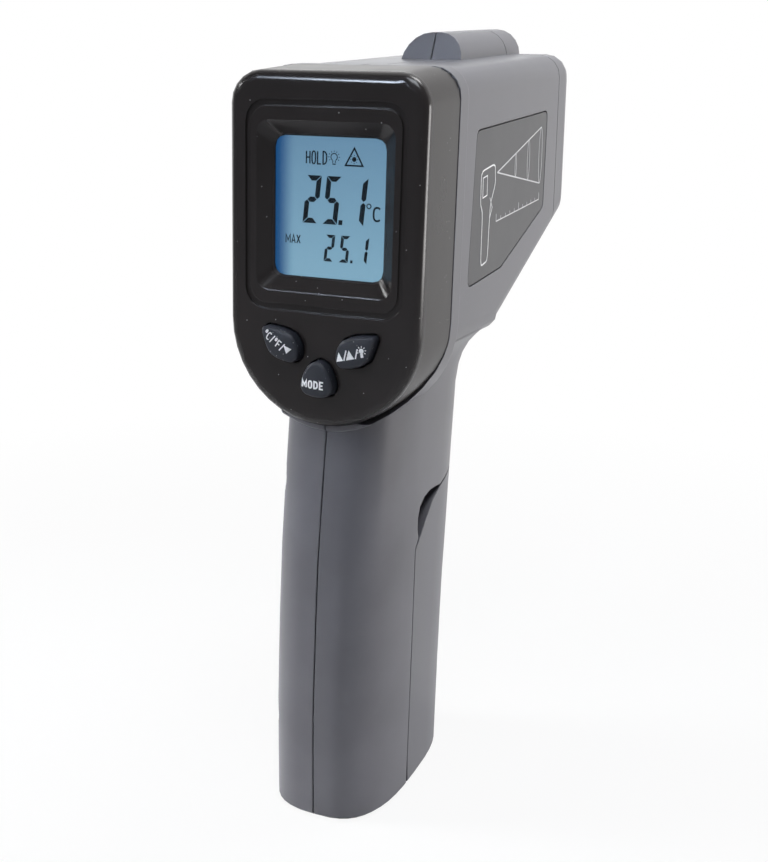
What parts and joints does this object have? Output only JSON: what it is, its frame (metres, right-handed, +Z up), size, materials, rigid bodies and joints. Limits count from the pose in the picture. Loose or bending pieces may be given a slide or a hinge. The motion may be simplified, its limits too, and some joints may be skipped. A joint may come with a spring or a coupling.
{
  "type": "infrared thermometer",
  "caption": "Pistol-grip infrared spot thermometer with backlit display, rubber keys, trigger, aiming laser in a top hump and a hinged battery door.",
  "frame": {"origin": "middle of the bounding box in X and Y, at the flat end of the grip", "axes": "+X to the user's right, +Y from the display towards the lens, +Z up the grip"},
  "size_m": [0.041, 0.1038, 0.1663],
  "materials": {
    "housing_plastic": "satin moulded dark grey plastic with a fine texture",
    "bezel_plastic": "satin black moulded plastic",
    "black_plastic": "plain black moulded plastic",
    "key_rubber": "black silicone rubber",
    "clear_window": "clear flat acrylic",
    "lcd_glass": "backlit blue-grey liquid crystal panel",
    "diffuser": "white light guide",
    "lens_material": "milky grey infrared lens",
    "circuit_board": "green solder mask",
    "label_film": "dark grey printed film",
    "steel": "plain steel",
    "brass": "turned brass",
    "barrel_metal": "black anodised tube",
    "plunger_plastic": "red moulded plastic",
    "red_cable": "red insulated wire",
    "dark_cable": "black insulated wire",
    "battery_jacket": "plain printed metal jacket"
  },
  "bodies": {
    "body": {"backlight_plate": "diffuser", "battery": "battery_jacket", "battery_cradle": "black_plastic", "battery_lead_black": "dark_cable", "battery_lead_red": "red_cable", "battery_snap": "black_plastic", "board_screw_1": "steel", "board_screw_2": "steel", "board_screw_3": "steel", "board_screw_4": "steel", "buzzer": "black_plastic", "display_bezel": "bezel_plastic", "display_window": "clear_window", "door_pin": "steel", "housing_screw_1": "steel", "housing_screw_2": "steel", "housing_screw_3": "steel", "housing_screw_4": "steel", "housing_screw_5": "steel", "ir_lens": "lens_material", "keypad_mat": "key_rubber", "laser_lead": "red_cable", "laser_module": "brass", "laser_window": "clear_window", "lcd_frame": "black_plastic", "lcd_panel": "lcd_glass", "left_housing": "housing_plastic", "lens_barrel": "barrel_metal", "lens_ring": "black_plastic", "main_board": "circuit_board", "nose_cap": "housing_plastic", "right_housing": "housing_plastic", "sensor_board": "circuit_board", "sensor_lead": "dark_cable", "side_label_left": "label_film", "side_label_right": "label_film", "switch_board": "circuit_board", "thermopile_can": "steel", "trigger_pin": "steel", "trigger_spring": "steel", "trigger_switch": "black_plastic"},
    "left_key": {"key_unit_down": "key_rubber"},
    "middle_key": {"key_mode": "key_rubber"},
    "right_key": {"key_light_up": "key_rubber"},
    "trigger": {"trigger": "housing_plastic"},
    "plunger": {"switch_plunger": "plunger_plastic"},
    "door": {"battery_door": "housing_plastic"}
  },
  "joints": [
    {"name": "left_key_press", "type": "slide", "parent": "body", "child": "left_key", "axis": [0, 1, 0], "range_m": [0, 0.0009], "stiffness_N_per_m": 600, "springref_m": -0.0004},
    {"name": "middle_key_press", "type": "slide", "parent": "body", "child": "middle_key", "axis": [0, 1, 0], "range_m": [0, 0.0009], "stiffness_N_per_m": 600, "springref_m": -0.0004},
    {"name": "right_key_press", "type": "slide", "parent": "body", "child": "right_key", "axis": [0, 1, 0], "range_m": [0, 0.0009], "stiffness_N_per_m": 600, "springref_m": -0.0004},
    {"name": "trigger_pull", "type": "hinge", "parent": "body", "child": "trigger", "pos_m": [0, -0.00595, 0.096], "axis": [-1, 0, 0], "range_deg": [0, 6], "stiffness_Nm_per_rad": 0.3, "springref_deg": -4.58, "deforming": ["trigger_spring"]},
    {"name": "plunger_press", "type": "slide", "parent": "body", "child": "plunger", "axis": [0, -1, 0], "range_m": [0, 0.001]},
    {"name": "door_swing", "type": "hinge", "parent": "body", "child": "door", "pos_m": [0, -0.00545, 0.005], "axis": [-1, 0, 0], "range_deg": [0, 80]}
  ],
  "couplings": [
    {"joint": "plunger_press", "follows": "trigger_pull", "m_per_rad": 0.0088}
  ]
}
